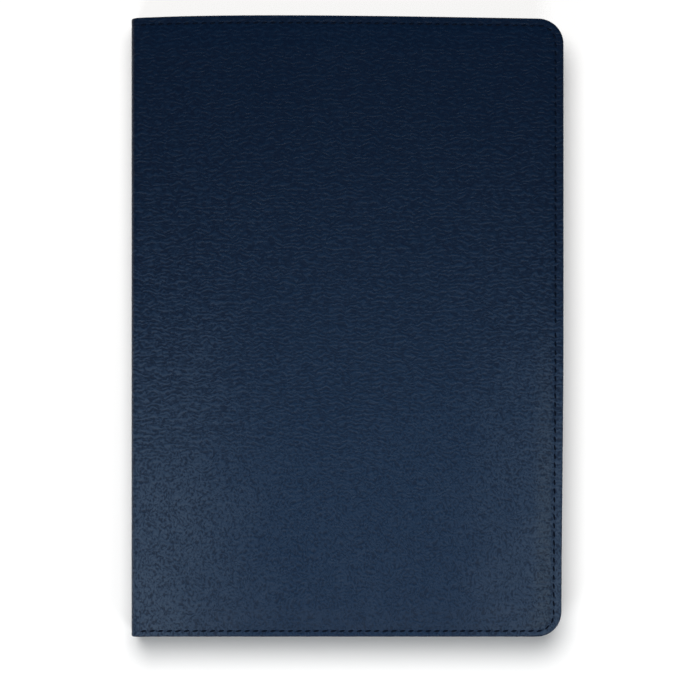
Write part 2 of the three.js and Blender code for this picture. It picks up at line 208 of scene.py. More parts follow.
leatherFinish = {
    "navy": (0.0004, 0.0059, 0.0195),
    "foot": (0.0062, 0.0205, 0.0495),  # painted sheen: the tone eases towards this lighter blue at the foot, standing in for the light's reflection there
    "edge": (0.0245, 0.0435, 0.076),  # painted sheen: it eases further towards this beside the spine and the free edge, low on the cover
    # painted shade in the grain's hollows and in the seam's stitch holes
    "valleyShade": (0.0006, 0.0034, 0.013),
    # painted highlights on the grain's crests, lighter still under the side sheen
    "crest": (0.0108, 0.0262, 0.0568),
    "sideSheenCrest": (0.034, 0.055, 0.091),
    # painted sheen on the padding's slope inside the seam, near the foot
    "slopeSheen": (0.031, 0.047, 0.07),
    "waves": 520.0,  # ridges per metre along the spine
    "wander": (215.0, 170.0, 1.0),  # how quickly they waver, across and along
    "breaks": (330.0, 520.0, 1.0),
    "shortRidges": (280.0, 620.0, 1.0),
    "pebbleRidges": (640.0, 430.0, 1.0),
    "pebble": (1050.0, 800.0, 1.0),
    "phase": 19.0,  # how far the ridges waver, in radians
    "wobble": 85.0,
    "bend": (0.006, 0.006, 0.0),  # how far the grain is pushed about
    "pucker": (110.0, 560.0, 1.0),  # pulls in the slope towards the seam
    "patches": 13.0,
    "clouds": 34.0,
    "broad": 130.0,
    "relief": 0.00036,
    "gloss": 0.27,
    "middle": 0.112,  # the middle of a cover, in flat coordinates
}


def makeLeather(name):
    finish = leatherFinish
    shader = Shader(name, finish["navy"], 0.4, Specular_IOR_Level=finish["gloss"])
    place = shader.flatPlace()
    across = shader.part(place, 0)
    along = shader.part(place, 1)
    patch = shader.noise(place, finish["patches"], 2.0)
    sockets = {"Vector": place, "Scale": finish["wobble"], "Detail": 2.0}
    wobble = shader.add("ShaderNodeTexNoise", None, sockets)
    push = {0: wobble.outputs[1], 1: finish["bend"], 2: place}
    bent = shader.wire("ShaderNodeVectorMath", {"operation": "MULTIPLY_ADD"}, push)
    wander = shader.noise(shader.scaled(place, finish["wander"]), 1.0, 2.0, 0.45) * finish["phase"]
    waves = (along * (2 * math.pi * finish["waves"]) + wander).sine()
    breaks = shader.between(shader.noise(shader.scaled(bent, finish["breaks"]), 1.0, 1.0), 0.38, 0.6)
    longs = shader.between(waves, -0.5, 1.0) * breaks
    shorts = shader.noise(shader.scaled(bent, finish["shortRidges"], 0.12), 1.0, 2.0)
    shorts = shader.ridge(shorts, 0.12)
    stipple = shader.noise(shader.scaled(bent, finish["pebbleRidges"], 0.3), 1.0, 2.0)
    stipple = shader.ridge(stipple, 0.14)
    pebble = shader.between(
        shader.cells(shader.scaled(bent, finish["pebble"]), 1.0, "F1"), 0.1, 0.75, 1.0, 0.0
    )
    lower = shader.between(along + (patch - 0.5) * 0.14, -0.085, -0.01)
    ridges = (longs * 0.75 + shorts * 0.3) * (0.25 + 0.75 * lower) + stipple * (0.4 - 0.3 * lower)
    grains = pebble * (0.75 - 0.45 * lower)
    low = shader.between(along, -0.11, 0.12, 1.0, 0.0)
    slope = shader.attribute("slope")
    foot = shader.between(along, -0.12, 0.03, 1.0, 0.0)
    pucker = shader.ridge(shader.noise(shader.scaled(place, finish["pucker"]), 1.0, 1.0), 0.16)
    broad = shader.noise(place, finish["broad"], 3.0)
    seam = shader.attribute("seam")
    relief = ridges * 0.6 + grains * 0.4 + broad * 0.4
    shader.bump(relief * (0.5 + 0.5 * low) + pucker * slope * foot * 0.6, finish["relief"])
    tone = shader.noise(place, finish["clouds"], 4.0)
    # painted sheen: the cover lightens towards the foot, as the light's reflection does
    base = shader.blendColours(low, finish["navy"], finish["foot"])
    # painted sheen beside the spine and the free edge, low on the cover
    side = shader.between((across - finish["middle"]).size() + (tone - 0.5) * 0.03, 0.03, 0.1)
    base = shader.blendColours(side * foot * 0.75, base, finish["edge"])
    # painted highlights on the grain's crests, stronger low down and lighter under the side sheen
    crest = shader.between(tone * 0.4 + ridges * 0.6 + grains * 0.5, 0.33, 0.85)
    crestTone = shader.blendColours(side * low, finish["crest"], finish["sideSheenCrest"])
    base = shader.blendColours(crest * (0.12 + 0.5 * low), base, crestTone)
    # painted sheen where the padding slopes towards the seam at the foot
    base = shader.blendColours(slope * foot * (0.3 + 0.35 * pucker), base, finish["slopeSheen"])
    # painted shade in the grain's hollows, deeper beside the spine and the free edge
    hollowShade = shader.between(ridges + grains, 0.05, 0.66, 1.0, 0.0) * (0.48 + 0.16 * side)
    base = shader.blendColours(hollowShade, base, finish["valleyShade"])
    # painted shade along the seam, darkest at the stitch holes
    base = shader.blendColours(shader.between(seam, 0.3, 1.0, 0.0, 0.35), base, finish["valleyShade"])
    shader.colour(base)
    shader.roughness(0.39 + 0.12 * broad + 0.08 * (1.0 - ridges) + 0.1 * seam)
    return shader.material


def makeThread(name, dark, light):
    shader = Shader(name, dark, 0.55, Specular_IOR_Level=0.15)
    place = shader.flatPlace()
    twist = shader.noise(shader.scaled(place, (2600.0, 2600.0, 1.0), 0.6), 1.0, 1.0)
    shader.colour(shader.blendColours(shader.between(twist, 0.35, 0.7), dark, light))
    shader.roughness(0.5 + 0.2 * twist)
    shader.bump(twist, 0.00006)
    return shader.material


def makeNap():
    # short brushed pile: soft, slightly streaked, with no gloss
    shader = Shader("grey_microfibre", (0.035, 0.038, 0.044), 0.95, Specular_IOR_Level=0.2)
    place = shader.flatPlace()
    streak = shader.noise(shader.scaled(place, (60.0, 240.0, 1.0), 0.3), 1.0, 4.0)
    fibre = shader.noise(shader.scaled(place, (2600.0, 1500.0, 1.0), 0.5), 1.0, 3.0, 0.7)
    tone = shader.between(streak * 0.6 + fibre * 0.4, 0.35, 0.65)
    shader.colour(shader.blendColours(tone, (0.026, 0.029, 0.034), (0.05, 0.054, 0.062)))
    shader.roughness(0.88 + 0.1 * fibre)
    shader.bump(fibre + streak * 0.4, 0.00012)
    return shader.material


def makePale():
    shader = Shader("studio_floor", (0.92, 0.92, 0.92), 0.9)
    tone = shader.noise(shader.objectPlace(), 3.0)
    shader.colour(shader.blendColours(tone, (0.915, 0.915, 0.915), (0.925, 0.925, 0.925)))
    return shader.material


studio = {
    "lens": 144.0,
    "sensor": 36.0,
    "frameWidth": 0.2992,  # how wide a stretch the camera sees at the cover's level
    "aim": (0.0011, -0.0098),
    "clipEnd": 20,
    "floorHalf": 4.0,
    "floorDrop": 0.0004,
    "sky": 0.06,
    # name, place, aim, size, power, tint, whether it shows in glossy surfaces
    "lights": [
        ("key", (-0.09, 0.5, 1.4), (0, 0, 0), 0.95, 23.5, (1, 0.99, 0.98), False),
        ("wash_left", (-0.24, -0.38, 0.62), (0, -0.08, 0), 0.26, 1.0, (0.94, 0.975, 1), True),
        ("wash_right", (0.26, -0.38, 0.62), (0.02, -0.08, 0), 0.26, 1.0, (0.94, 0.975, 1), True),
    ],
}


def addArea(name, place, target, size, power, tint, glossy):
    data = bpy.data.lights.new(name, "AREA")
    data.shape = "DISK"
    data.size = size
    data.energy = power
    data.color = tint
    light = bpy.data.objects.new(name, data)
    light.location = place
    light.rotation_euler = (Vector(target) - Vector(place)).to_track_quat("-Z", "Y").to_euler()
    light.visible_glossy = glossy
    bpy.context.scene.collection.objects.link(light)


def setStudio():
    scene = bpy.context.scene
    scene.view_settings.view_transform = "Standard"
    world = bpy.data.worlds.new("studio")
    world.use_nodes = True
    sky = world.node_tree.nodes["Background"]
    sky.inputs["Color"].default_value = (1, 1, 1, 1)
    sky.inputs["Strength"].default_value = studio["sky"]
    scene.world = world

    topZ = cadBox[1].z
    camera = bpy.data.objects.new("camera", bpy.data.cameras.new("camera"))
    camera.data.lens = studio["lens"]
    camera.data.sensor_width = studio["sensor"]
    distance = studio["frameWidth"] * studio["lens"] / studio["sensor"]
    camera.location = (*studio["aim"], topZ + distance)
    camera.data.clip_end = studio["clipEnd"]
    scene.collection.objects.link(camera)
    scene.camera = camera

    for light in studio["lights"]:
        addArea(*light)

    bm = bmesh.new()
    bmesh.ops.create_grid(bm, x_segments=2, y_segments=2, size=studio["floorHalf"])
    bmesh.ops.translate(bm, verts=bm.verts, vec=(0, 0, cadBox[0].z - studio["floorDrop"]))
    floor = finishMesh(bm, "studio_floor", makePale())


def finishMesh(bm, name, material, sharpAngle=None):
    mesh = bpy.data.meshes.new(name)
    bm.to_mesh(mesh)
    bm.free()
    mesh.materials.append(material)
    piece = bpy.data.objects.new(name, mesh)
    bpy.context.scene.collection.objects.link(piece)
    if sharpAngle is not None:
        mesh.shade_smooth()
        mesh.set_sharp_from_angle(angle=math.radians(sharpAngle))
    return piece


def smoothStep(value, low, high):
    share = min(1.0, max(0.0, (value - low) / (high - low)))
    return share * share * (3 - 2 * share)


def alongProfile(points, value):
    # a height at a distance, eased between the profile's points
    if value <= points[0][0]:
        return points[0][1]
    for (a, low), (b, high) in zip(points, points[1:]):
        if value <= b:
            return low + (high - low) * smoothStep(value, a, b)
    return points[-1][1]


folio = {
    "half": cadBox[1].y,
    "right": cadBox[1].x,
    "top": cadBox[1].z,
    "fold": span("upper_crease")[1].x - span("upper_crease")[0].x,
    "corner": 10.7 * mm,
    "creaseDepth": 1.4 * mm,
    "creaseRamp": 1.3 * mm,
    "bendExtra": 0.6 * mm,  # how far the bend runs on past the crease
    "liningProud": 0.25 * mm,  # how far the linings stand over the turned-in edges
    "liningInset": 2.0 * mm,
    "turnIn": 5.0 * mm,
    "edgeRound": 0.68 * mm,
    "skin": 0.62 * mm,
    "pitch": 3.7 * mm,
    "seamRound": 7.2 * mm,
    "dent": 0.13 * mm,
    "dentWidth": 0.75 * mm,
}
folio["spineRun"] = folio["top"] / 2 - folio["fold"]
folio["bendRun"] = folio["fold"] * math.pi / 2
folio["coverStart"] = folio["spineRun"] + folio["bendRun"]
folio["width"] = folio["right"] * 2 - folio["fold"]
folio["reach"] = folio["coverStart"] + folio["width"]
folio["spineDepth"] = span("spine_lining")[1].x - cadBox[0].x - folio["liningProud"]

frontCover = {
    "part": "front",
    "upper": True,
    "depth": folio["top"] - span("front_lining")[0].z - folio["liningProud"],
    "drop": folio["top"] - span("front_foam")[0].z - 0.8 * mm,
    "seam": {"free": 3.5 * mm, "high": 3.2 * mm, "low": 2.5 * mm},
    # height of the padding, from the seam inwards
    "padding": [(0.0, 0.0), (1.3 * mm, 0.18), (3.0 * mm, 0.5), (5.2 * mm, 0.62), (9.6 * mm, 1.0)],
    "swell": 0.16 * mm,
}
backCover = {
    "part": "back",
    "upper": False,
    "depth": span("holder_base")[0].z - folio["liningProud"],
    "drop": 0.0,
    "seam": {"free": 3.4 * mm, "high": 3.2 * mm, "low": 3.2 * mm},
    "padding": [(0.0, 1.0)],
    "swell": 0.03 * mm,
}


cushion = {
    # stretches over which the padding sets in, swells and shades, in metres
    "onset": (-0.5 * mm, 9 * mm),  # past the crease
    "swell": (4 * mm, 18 * mm),  # in from the seam
    "swellScale": (26, 19, 900),
    "slopeStart": (0.6 * mm, 2 * mm),
    "slopeEnd": (6 * mm, 10.5 * mm),
    "slopeSide": (16 * mm, 10 * mm),  # in from the free edge
    "pull": (0.6, 0.4),  # how the thread's dent varies along a stitch
}
outline = {
    # the head bows out and the foot draws in, in millimetres
    "bow": 1.6,
    "bowLean": 0.63,
    "bowStart": 0.6,
    "drawIn": 0.9,
}


def toEdge(u, v, reach, high, low, corner):
    # signed distance past a cover's rounded outline, and the way out; the spine side is open
    side = 1 if v > 0 else -1
    limit = high if v > 0 else low
    across = u - (reach - corner)
    along = abs(v) - (limit - corner)
    if across > 0 and along > 0:
        length = math.hypot(across, along)
        return length - corner, (across / length, side * along / length)
    if across > along:
        return u - reach, (1, 0)
    return abs(v) - limit, (0, side)


def wrapEdge(past, height, radius):
    # how far out and down the sheet is, at a distance past the outline's edge
    quarter = radius * math.pi / 2
    start = past + radius
    if start <= 0:
        return past, 0
    if start <= quarter:
        return radius * math.sin(start / radius) - radius, radius * (1 - math.cos(start / radius))
    start -= quarter
    wall = height - 2 * radius
    if start <= wall:
        return 0, radius + start
    start -= wall
    if start <= quarter:
        turn = start / radius
        return radius * math.cos(turn) - radius, radius + wall + radius * math.sin(turn)
    return -radius - (start - quarter), height


def depthAt(u, cover):
    # from the outer surface to the lining: spine, crease, cover
    spineEnd = folio["spineRun"]
    ramp = folio["creaseRamp"]
    spineShare = 1 - smoothStep(u, spineEnd - ramp, spineEnd)
    coverShare = smoothStep(u, folio["coverStart"], folio["coverStart"] + ramp)
    crease = folio["creaseDepth"]
    depth = crease + (folio["spineDepth"] - crease) * spineShare
    return depth + (cover["depth"] - crease) * coverShare


def seamDistance(u, v, cover):
    # how far a point lies inside the row of stitches
    seam = cover["seam"]
    return -toEdge(
        u, v, folio["reach"] - seam["free"], folio["half"] - seam["high"],
        folio["half"] - seam["low"], folio["seamRound"],
    )[0]


def seamRun(u, v, cover):
    # distance along the stitches, from the spine's end round to the other
    seam = cover["seam"]
    turn = folio["reach"] - seam["free"] - folio["seamRound"]
    high = folio["half"] - seam["high"] - folio["seamRound"]
    low = folio["half"] - seam["low"] - folio["seamRound"]
    arc = folio["seamRound"] * math.pi / 2
    limit = high if v > 0 else low
    if u <= turn:
        return u
    if abs(v) <= limit:
        return turn + arc + limit - abs(v)
    return turn + folio["seamRound"] * math.atan2(u - turn, abs(v) - limit)


def outerHeight(u, v, cover):
    # the outer surface above the fold's level, the seam's painted shade (darkest at its stitch holes),
    # and how much the padding slopes
    inward = seamDistance(u, v, cover)
    onset = [folio["coverStart"] + past for past in cushion["onset"]]
    onCover = smoothStep(u, *onset)
    rise = alongProfile(cover["padding"], inward) if inward > 0 else cover["padding"][0][1]
    height = -cover["drop"] * (1 - rise) * onCover
    near = math.exp(-((inward / folio["dentWidth"]) ** 2))
    middle, swing = cushion["pull"]
    pull = middle - swing * math.cos(2 * math.pi * seamRun(u, v, cover) / folio["pitch"])
    height -= folio["dent"] * near * pull
    inside = smoothStep(inward, *cushion["swell"]) * onCover
    scale = cushion["swellScale"]
    place = Vector((u * scale[0], v * scale[1], cover["depth"] * scale[2]))
    height += cover["swell"] * inside * noise.noise(place)
    side = smoothStep(u, *(folio["reach"] - inset for inset in cushion["slopeSide"]))
    slope = smoothStep(inward, *cushion["slopeStart"])
    slope = slope * (1 - smoothStep(inward, *cushion["slopeEnd"])) * side
    return height, near * (1.1 - pull), slope * min(1, cover["drop"] / mm)


def onSection(u, v, height, upper=True):
    # a point of the flat sheet put where it lies on the closed case
    fold = folio["fold"]
    turn = min(max((u - folio["spineRun"]) / fold, 0), math.pi / 2)
    centreX = -folio["right"] + fold
    past = max(u - folio["coverStart"], 0)
    before = min(u - folio["spineRun"], 0)
    x = centreX - (fold + height) * math.cos(turn) + past
    z = folio["top"] - fold + (fold + height) * math.sin(turn) + before
    return Vector((x, v, z if upper else folio["top"] - z))


def settleEdge(point):
    # the cover isn't quite a rectangle: its head bows out and its foot draws in
    share = (point.x + folio["right"]) / (2 * folio["right"])
    lift = max(0.0, point.y / folio["half"]) ** 3
    lift *= smoothStep(point.z, folio["top"] / 2, folio["top"] - folio["fold"])
    lean = max(share, 0.0) ** outline["bowLean"]
    bow = outline["bow"] * math.sin(math.pi * lean) - outline["bowStart"]
    point.y += lift * bow * mm
    pullIn = smoothStep(-point.y, 0, folio["half"])
    point.x -= outline["drawIn"] * mm * pullIn * max(share, 0.0) ** 4
    return point


def linesInward(limit, steps, spacing, stop):
    # grid lines close together at an edge and wider towards the middle
    lines = [limit - step * mm for step in steps]
    count = math.ceil((lines[-1] - stop) / spacing)
    start = lines[-1]
    return lines + [start + (stop - start) * (i + 1) / count for i in range(count)]


sheetLines = {
    # distances inwards from the edge, in millimetres; the negative ones fold down and under
    "turned": [-7.5, -6, -5, -4.5, -4.1, -3.8, -3.5, -3.2, -2.9, -2.4, -1.8, -1.4, -1.1, -0.8, -0.5],
    "rim": [-0.25, 0, 0.25, 0.5, 0.8, 1.2, 1.6, 2, 2.4, 2.8, 3.2, 3.6, 4, 4.4, 5, 6, 7, 8.5, 10, 12],
    "spacing": 2.4 * mm,
    "creaseLines": 28,
    "creaseMargin": 4 * mm,
    "spineLine": 3 * mm,
    "seamBand": 1.4 * mm,
    "longEdge": 0.9 * mm,
    "seamCuts": 3,
    "snap": 1.9 * mm,
}


def makeGrid(across, along):
    # a grid whose lines stand at these places
    bm = bmesh.new()
    columns = len(across) - 1
    rows = len(along) - 1
    bmesh.ops.create_grid(bm, x_segments=columns, y_segments=rows, size=0.5)
    for vert in bm.verts:
        column = round((vert.co.x + 0.5) * columns)
        row = round((vert.co.y + 0.5) * rows)
        vert.co = (across[column], along[row], 0)
    return bm


def makeHalfSheet(reach, half, steps, spacing, count):
    # a flat grid from the middle of the spine to a cover's free edge, finer across the crease
    start = folio["spineRun"] - sheetLines["creaseMargin"]
    end = folio["coverStart"] + sheetLines["creaseMargin"]
    crease = [start + (end - start) * i / count for i in range(count)]
    across = [0.0, sheetLines["spineLine"]] + crease + linesInward(reach, steps, spacing, end)[::-1]
    upwards = linesInward(half, steps, spacing, 0)
    return makeGrid(across, [-line for line in upwards] + upwards[-2::-1])


def laySheet(cover):
    reach = folio["reach"]
    half = folio["half"]
    margin = cover["depth"] + folio["turnIn"]
    lines = sheetLines
    steps = [step for step in lines["turned"] if -step * mm < margin] + lines["rim"]
    bm = makeHalfSheet(reach, half, steps, lines["spacing"], lines["creaseLines"])
    spare = [
        face for face in bm.faces
        if toEdge(*face.calc_center_median().xy, reach, half, half, folio["corner"])[0] > margin
    ]
    bmesh.ops.delete(bm, geom=spare, context="FACES")
    return bm


def refineSeam(bm, cover):
    # finer faces along the seam, a few to each stitch
    lines = sheetLines
    band = []
    for edge in bm.edges:
        middle = (edge.verts[0].co + edge.verts[1].co) / 2
        if edge.calc_length() > lines["longEdge"]:
            if abs(seamDistance(middle.x, middle.y, cover)) < lines["seamBand"]:
                band.append(edge)
    bmesh.ops.subdivide_edges(bm, edges=band, cuts=lines["seamCuts"], use_grid_fill=True)


def markFlat(bm):
    # the piece's own flat coordinates, kept as its UV map before it is folded
    uvs = bm.loops.layers.uv.new("flat")
    for face in bm.faces:
        face.smooth = True
        for loop in face.loops:
            loop[uvs].uv = loop.vert.co.xy


def placeOnCase(u, v, height, upper):
    point = onSection(u, v, height, upper)
    return settleEdge(point) if upper else point


def foldSheet(bm, cover):
    reach = folio["reach"]
    half = folio["half"]
    radius = folio["edgeRound"]
    markFlat(bm)
    for edge in bm.edges:
        # the spine is one flat panel, so its middle isn't shaded as a rounded edge
        edge.smooth = not (edge.is_boundary and all(vert.co.x < 0.1 * mm for vert in edge.verts))
    seamShade = bm.verts.layers.float.new("seam")
    slopeShade = bm.verts.layers.float.new("slope")
    for vert in bm.verts:
        u, v = vert.co.x, vert.co.y
        past, way = toEdge(u, v, reach, half, half, folio["corner"])
        height, dark, slope = outerHeight(u, v, cover)
        out, down = wrapEdge(past, depthAt(u, cover) + height, radius)
        if past > -radius:
            u += way[0] * (out - past)
            v += way[1] * (out - past)
        vert[seamShade] = dark
        vert[slopeShade] = slope
        vert.co = placeOnCase(u, v, height - down, cover["upper"])
    if not cover["upper"]:
        bmesh.ops.reverse_faces(bm, faces=bm.faces)


def trimSheet(bm, distance):
    # cuts away what lies outside an outline, and draws the cut edge onto it
    spare = [face for face in bm.faces if distance(*face.calc_center_median().xy)[0] > 0]
    bmesh.ops.delete(bm, geom=spare, context="FACES")
    for vert in bm.verts:
        if any(edge.is_boundary for edge in vert.link_edges):
            past, way = distance(*vert.co.xy)
            if abs(past) < sheetLines["snap"]:
                vert.co.x -= way[0] * past
                vert.co.y -= way[1] * past


def bendsAt(cover):
    # the stretch of outer surface that turns between the spine and the cover
    inset = folio["fold"] + folio["bendExtra"]
    outer = -folio["right"]
    level = folio["top"] if cover["upper"] else 0
    inner = level - inset if cover["upper"] else inset
    return Vector((outer, 0, inner)), Vector((outer + inset, 0, level))


def bendWithCover(piece, cover):
    start, end = bendsAt(cover)
    body = cover["part"] + "_cover"
    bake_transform(piece)


def addWall(piece, thickness):
    wall = piece.modifiers.new("wall", "SOLIDIFY")
    wall.thickness = thickness
    wall.offset = -1


def makeCoverLeather(cover):
    bm = laySheet(cover)
    refineSeam(bm, cover)
    if not cover["upper"]:
        trimSheet(bm, outsideWindow)
    foldSheet(bm, cover)
    if not cover["upper"]:
        turnUpWindow(bm)
    piece = finishMesh(bm, cover["part"] + "_leather", skinMaterial)
    addWall(piece, folio["skin"])
    bendWithCover(piece, cover)
    return piece


legPlate = {
    "low": span("leg_skin")[0],
    "high": span("leg_skin")[1],
    "corner": 8.0 * mm,
    "gap": 0.5 * mm,
    "openingEnd": span("leg_crease")[1].x + 0.2 * mm,
    "seam": 3.2 * mm,
    "cover": 0.06 * mm,  # the leatherette's level under the leg, above the case's underside
    "edge": 0.5 * mm,
    "turnUp": 2.2 * mm,
    "level": 0.4 * mm,  # the opening's rim lies below this
    "around": (-70 * mm, 45 * mm, 70 * mm),  # and within this: least x, most x, most y
}
legHinge = {
    "overCover": 0.15 * mm,
    "overLeg": 0.35 * mm,
    "lines": 14,
    "rows": 24,
    "level": 0.12 * mm,
    "groove": 0.3 * mm,
    "skin": 0.42 * mm,
    "bendLevel": 0.4 * mm,
}


def outsideWindow(u, v):
    # signed distance into the opening, and the way out of it
    x = u - folio["coverStart"] - folio["right"] + folio["fold"]
    gap = legPlate["gap"]
    corner = legPlate["corner"] + gap
    left = legPlate["low"].x - gap
    half = legPlate["high"].y + gap
    side = 1 if v > 0 else -1
    across = left + corner - x
    along = abs(v) - (half - corner)
    if across > 0 and along > 0:
        length = math.hypot(across, along)
        return corner - length, (across / length, -side * along / length)
    ways = [
        (x - left, (1, 0)),
        (legPlate["openingEnd"] - x, (-1, 0)),
        (half - abs(v), (0, -side)),
    ]
    return min(ways, key=lambda way: way[0])


def turnUpWindow(bm):
    # the opening's edges are turned up into the board
    least, most, side = legPlate["around"]
    rim = [
        edge for edge in bm.edges
        if edge.is_boundary and all(abs(v.co.z) < legPlate["level"] for v in edge.verts)
        and all(abs(v.co.y) < side and least < v.co.x < most for v in edge.verts)
    ]
    grown = bmesh.ops.extrude_edge_only(bm, edges=rim)
    lifted = [item for item in grown["geom"] if isinstance(item, bmesh.types.BMVert)]
    bmesh.ops.translate(bm, verts=lifted, vec=(0, 0, legPlate["turnUp"]))


skinMaterial = makeLeather("navy_leatherette")
threadMaterial = makeThread("seam_thread", (0.0003, 0.0016, 0.0065), (0.0012, 0.0045, 0.0125))
frontLeather = makeCoverLeather(frontCover)
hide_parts("front_skin", "upper_crease")
backLeather = makeCoverLeather(backCover)
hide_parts("back_skin", "lower_crease", "spine_skin")
print("leatherette")


stitch = {
    "length": 2.6 * mm,
    "width": 0.92 * mm,
    "thick": 0.5 * mm,
    "slant": math.radians(9),
    "sunk": -0.04 * mm,
    "proud": 0.05 * mm,
    "startBefore": 3.2 * mm,  # the row begins this far round the fold
}


def seamPoint(run, side, cover):
    # the place and heading of a stitch, at a distance along one half of the seam
    seam = cover["seam"]
    radius = folio["seamRound"]
    turn = folio["reach"] - seam["free"] - radius
    limit = folio["half"] - seam["high" if side > 0 else "low"] - radius
    arc = radius * math.pi / 2
    if run <= turn:
        return run, side * (limit + radius), 0
    if run <= turn + arc:
        angle = (run - turn) / radius
        return turn + radius * math.sin(angle), side * (limit + radius * math.cos(angle)), -side * angle
    return turn + radius, side * (limit + turn + arc - run), -side * math.pi / 2


def seamStitches(cover):
    seam = cover["seam"]
    pitch = folio["pitch"]
    turn = folio["reach"] - seam["free"] - folio["seamRound"]
    points = []
    for side, key in ((1, "high"), (-1, "low")):
        end = turn + folio["seamRound"] * (math.pi / 2 - 1) + folio["half"] - seam[key]
        count = int(end / pitch)
        first = math.ceil((folio["coverStart"] - stitch["startBefore"]) / pitch)
        points += [seamPoint((i + 0.5) * pitch, side, cover) for i in range(first, count)]
    return points


def makeStitchMesh():
    # one stitch, thick in the middle, its ends going down into the skin
    size = (stitch["length"] / 2, stitch["width"] / 2, stitch["thick"] / 2)
    bm = bmesh.new()
    bmesh.ops.create_uvsphere(
        bm, u_segments=8, v_segments=6, radius=1,
        matrix=Matrix.Diagonal((*size, 1)) @ Matrix.Rotation(math.pi / 2, 4, "Y"),
    )
    mesh = bpy.data.meshes.new("stitch")
    bm.to_mesh(mesh)
    bm.free()
    return mesh


def addStitch(bm, u, v, level, heading):
    place = Matrix.Translation((u, v, level)) @ Matrix.Rotation(heading + stitch["slant"], 4, "Z")
    stitchMesh.transform(place)
    bm.from_mesh(stitchMesh)
    stitchMesh.transform(place.inverted())


def sewCover(cover, inside):
    bm = bmesh.new()
    for u, v, heading in seamStitches(cover):
        if inside:
            level = -depthAt(u, cover) - folio["liningProud"] + stitch["proud"]
        else:
            level = outerHeight(u, v, cover)[0] - stitch["sunk"]
        addStitch(bm, u, v, level, heading)
    markFlat(bm)
    for vert in bm.verts:
        vert.co = placeOnCase(*vert.co, cover["upper"])
    if not cover["upper"]:
        bmesh.ops.reverse_faces(bm, faces=bm.faces)
    name = cover["part"] + ("_inner_stitches" if inside else "_stitches")
    piece = finishMesh(bm, name, threadMaterial)
    bendWithCover(piece, cover)


stitchMesh = makeStitchMesh()
for cover in (frontCover, backCover):
    for inside in (False, True):
        sewCover(cover, inside)
print("stitches")


lining = {
    "steps": [0, 0.7, 1.4, 2.1, 2.8, 3.6, 4.5, 5.5, 6.5, 7.6, 9],
    "spacing": 8 * mm,
    "creaseLines": 22,
    "thick": 0.3 * mm,
}


def makeLining(cover, *nodes):
    reach = folio["reach"] - folio["liningInset"]
    half = folio["half"] - folio["liningInset"]
    corner = folio["corner"] - folio["liningInset"]
    bm = makeHalfSheet(reach, half, lining["steps"], lining["spacing"], lining["creaseLines"])
    trimSheet(bm, lambda u, v: toEdge(u, v, reach, half, half, corner))
    markFlat(bm)
    for vert in bm.verts:
        depth = depthAt(vert.co.x, cover) + folio["liningProud"]
        vert.co = placeOnCase(vert.co.x, vert.co.y, -depth, cover["upper"])
    if cover["upper"]:
        bmesh.ops.reverse_faces(bm, faces=bm.faces)
    piece = finishMesh(bm, cover["part"] + "_microfibre", napMaterial)
    addWall(piece, lining["thick"])
    bendWithCover(piece, cover)
    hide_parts(*nodes)


napMaterial = makeNap()
makeLining(frontCover, "front_lining")
makeLining(backCover, "back_lining", "spine_lining")
print("linings")


def bevelEdges(bm, edges, width, segments):
    return bmesh.ops.bevel(
        bm, geom=list(edges), offset=width, offset_type="OFFSET", segments=segments,
        profile=0.5, affect="EDGES", material=-1,
    )


def roundedBlock(bm, low, high, corner, edge, cornerSteps=6, edgeSteps=2,
                 taper=0.0, dish=0.0, squareFrom=math.inf):
    # a block with its upright edges rounded, then its face edges; the cap side faces down
    size = high - low
    place = Matrix.Translation((low + high) / 2) @ Matrix.Diagonal((*size, 1))
    verts = bmesh.ops.create_cube(bm, size=1, matrix=place)["verts"]
    upright = {
        e for v in verts for e in v.link_edges
        if abs(e.verts[0].co.z - e.verts[1].co.z) > 0.5 * size.z and e.verts[0].co.x < squareFrom
    }
    rounded = bevelEdges(bm, upright, corner, cornerSteps)
    faces = {f for v in rounded["verts"] if v.is_valid for f in v.link_faces}
    flats = [f for f in faces if abs(f.normal.z) > 0.9]
    bottom = min(flats, key=lambda f: f.calc_center_median().z)
    if taper:
        centre = bottom.calc_center_median()
        shrink = Vector(((size.x - 2 * taper) / size.x, (size.y - 2 * taper) / size.y, 1))
        for vert in bottom.verts:
            vert.co = centre + (vert.co - centre) * shrink
    rims = {e for f in ([bottom] if taper else flats) for e in f.edges}
    bevelEdges(bm, rims, edge, edgeSteps)
    if dish:
        face = min(
            (f for f in bm.faces if f.normal.z < -0.9 and f.calc_area() > 0.2 * size.x * size.y
             and (f.calc_center_median() - (low + high) / 2).xy.length < 0.2 * mm),
            key=lambda f: f.calc_center_median().z,
        )
        bmesh.ops.inset_region(bm, faces=[face], thickness=0.55 * corner, depth=0)
        bmesh.ops.translate(bm, verts=face.verts, vec=(0, 0, dish))


def makeLeg():
    bm = bmesh.new()
    low = legPlate["low"].copy()
    high = legPlate["high"].copy()
    low.z = legPlate["cover"]
    roundedBlock(bm, low, high, legPlate["corner"], legPlate["edge"], 10, 3, squareFrom=high.x - 1 * mm)
    markFlat(bm)
    piece = finishMesh(bm, "leg_leather", skinMaterial, 40)
    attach(piece, "stand_leg")
    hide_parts("leg_skin")

    bm = bmesh.new()
    seam = legPlate["seam"]
    pitch = folio["pitch"]
    corner = legPlate["corner"] - seam
    left = low.x + seam
    half = high.y - seam
    straight = high.x - seam - left - corner
    arc = corner * math.pi / 2
    total = straight + arc + half - corner
    for side in (1, -1):
        for i in range(round(total / pitch)):
            run = (i + 0.5) * total / round(total / pitch)
            if run <= straight:
                point = (high.x - seam - run, side * half, math.pi)
            elif run <= straight + arc:
                angle = (run - straight) / corner
                point = (left + corner * (1 - math.sin(angle)),
                         side * (half - corner * (1 - math.cos(angle))), math.pi + side * angle)
            else:
                point = (left, side * (half - corner - (run - straight - arc)), math.pi / 2)
            addStitch(bm, point[0], point[1], low.z + stitch["proud"], point[2])
    markFlat(bm)
    piece = finishMesh(bm, "leg_stitches", threadMaterial)
    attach(piece, "stand_leg")


